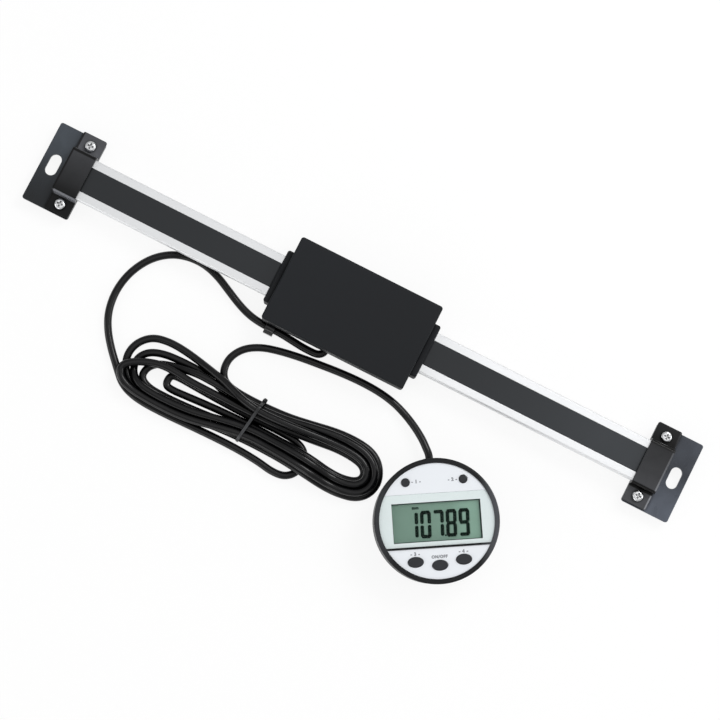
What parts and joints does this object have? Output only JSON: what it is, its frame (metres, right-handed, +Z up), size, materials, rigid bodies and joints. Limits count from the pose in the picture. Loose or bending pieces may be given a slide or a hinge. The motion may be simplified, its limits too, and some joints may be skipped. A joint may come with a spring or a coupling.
{
  "type": "digital linear scale",
  "caption": "Digital linear scale: a flat measuring bar with slotted end brackets slides through a reading head that is cabled to a round battery display.",
  "frame": {"origin": "centre of the reading head's underside, on the mounting surface", "axes": "+X along the measuring bar towards the right-hand bracket, +Y across the bar away from the display, +Z up from the mounting surface"},
  "size_m": [0.3512, 0.1235, 0.0211],
  "materials": {
    "bar_aluminium": "satin",
    "strip_black": "matte",
    "film_black": "satin",
    "bracket_black": "satin",
    "screw_steel": "polished",
    "base_black": "matte",
    "cover_black": "matte",
    "gib_brass": "satin",
    "spring_steel": "satin",
    "board_green": "satin",
    "chip_black": "matte",
    "wiper_rubber": "matte",
    "wiper_felt": "felt",
    "gland_rubber": "satin",
    "clip_nylon": "gloss",
    "cable_jacket": "gloss",
    "tie_black": "satin",
    "case_black": "satin",
    "panel_white": "satin",
    "mask_white": "matte",
    "lens_clear": "polished",
    "lcd_grey_green": "satin",
    "zebra_rubber": "matte",
    "mat_silicone": "matte",
    "button_dark": "satin",
    "magnet_nickel": "polished",
    "cell_steel": "polished",
    "contact_brass": "satin"
  },
  "bodies": {
    "head": {"head_base": "base_black", "head_cover": "cover_black", "cover_screws": "screw_steel", "gib_strip": "gib_brass", "gib_springs": "spring_steel", "reader_board": "board_green", "reader_chips": "chip_black", "reader_board_screws": "screw_steel", "wiper_left": "wiper_rubber", "wiper_right": "wiper_rubber", "wiper_felt_left": "wiper_felt", "wiper_felt_right": "wiper_felt", "cable_gland": "gland_rubber", "cable_clip": "clip_nylon", "cable_head_side": "cable_jacket", "cable_hank": "cable_jacket", "cable_display_side": "cable_jacket", "hank_tie": "tie_black", "display_case": "case_black", "upper_panel": "panel_white", "lower_panel": "panel_white", "window_mask": "mask_white", "display_lens": "lens_clear", "lcd_glass": "lcd_grey_green", "zebra_strips": "zebra_rubber", "display_board": "board_green", "display_chips": "chip_black", "display_board_screws": "screw_steel", "keypad_mat": "mat_silicone", "back_cover": "case_black", "back_screws": "screw_steel", "magnets": "magnet_nickel", "battery_cell": "cell_steel", "battery_contacts": "contact_brass", "display_gland": "gland_rubber"},
    "beam": {"beam_bar": "bar_aluminium", "scale_strip": "strip_black", "strip_film": "film_black", "bracket_plate_left": "bracket_black", "bracket_plate_right": "bracket_black", "end_clamp_left": "bracket_black", "end_clamp_right": "bracket_black", "clamp_screws_left": "screw_steel", "clamp_screws_right": "screw_steel"},
    "button_round_left": {"button_round_left": "button_dark"},
    "button_round_right": {"button_round_right": "button_dark"},
    "button_oval_left": {"button_oval_left": "button_dark"},
    "button_oval_middle": {"button_oval_middle": "button_dark"},
    "button_oval_right": {"button_oval_right": "button_dark"},
    "battery_cover": {"battery_cover": "case_black"}
  },
  "joints": [
    {"name": "beam_slide", "type": "slide", "parent": "head", "child": "beam", "axis": [1, 0, 0], "range_m": [-0.1151, 0.1031]},
    {"name": "button_round_left_press", "type": "slide", "parent": "head", "child": "button_round_left", "axis": [0, 0, -1], "range_m": [0, 0.0006], "stiffness_N_per_m": 800, "springref_m": -0.0006},
    {"name": "button_round_right_press", "type": "slide", "parent": "head", "child": "button_round_right", "axis": [0, 0, -1], "range_m": [0, 0.0006], "stiffness_N_per_m": 800, "springref_m": -0.0006},
    {"name": "button_oval_left_press", "type": "slide", "parent": "head", "child": "button_oval_left", "axis": [0, 0, -1], "range_m": [0, 0.0006], "stiffness_N_per_m": 800, "springref_m": -0.0006},
    {"name": "button_oval_middle_press", "type": "slide", "parent": "head", "child": "button_oval_middle", "axis": [0, 0, -1], "range_m": [0, 0.0006], "stiffness_N_per_m": 800, "springref_m": -0.0006},
    {"name": "button_oval_right_press", "type": "slide", "parent": "head", "child": "button_oval_right", "axis": [0, 0, -1], "range_m": [0, 0.0006], "stiffness_N_per_m": 800, "springref_m": -0.0006},
    {"name": "battery_cover_turn", "type": "hinge", "parent": "head", "child": "battery_cover", "pos_m": [0.081, -0.0713, 0], "axis": [0, 0, -1], "range_deg": [0, 30]}
  ]
}
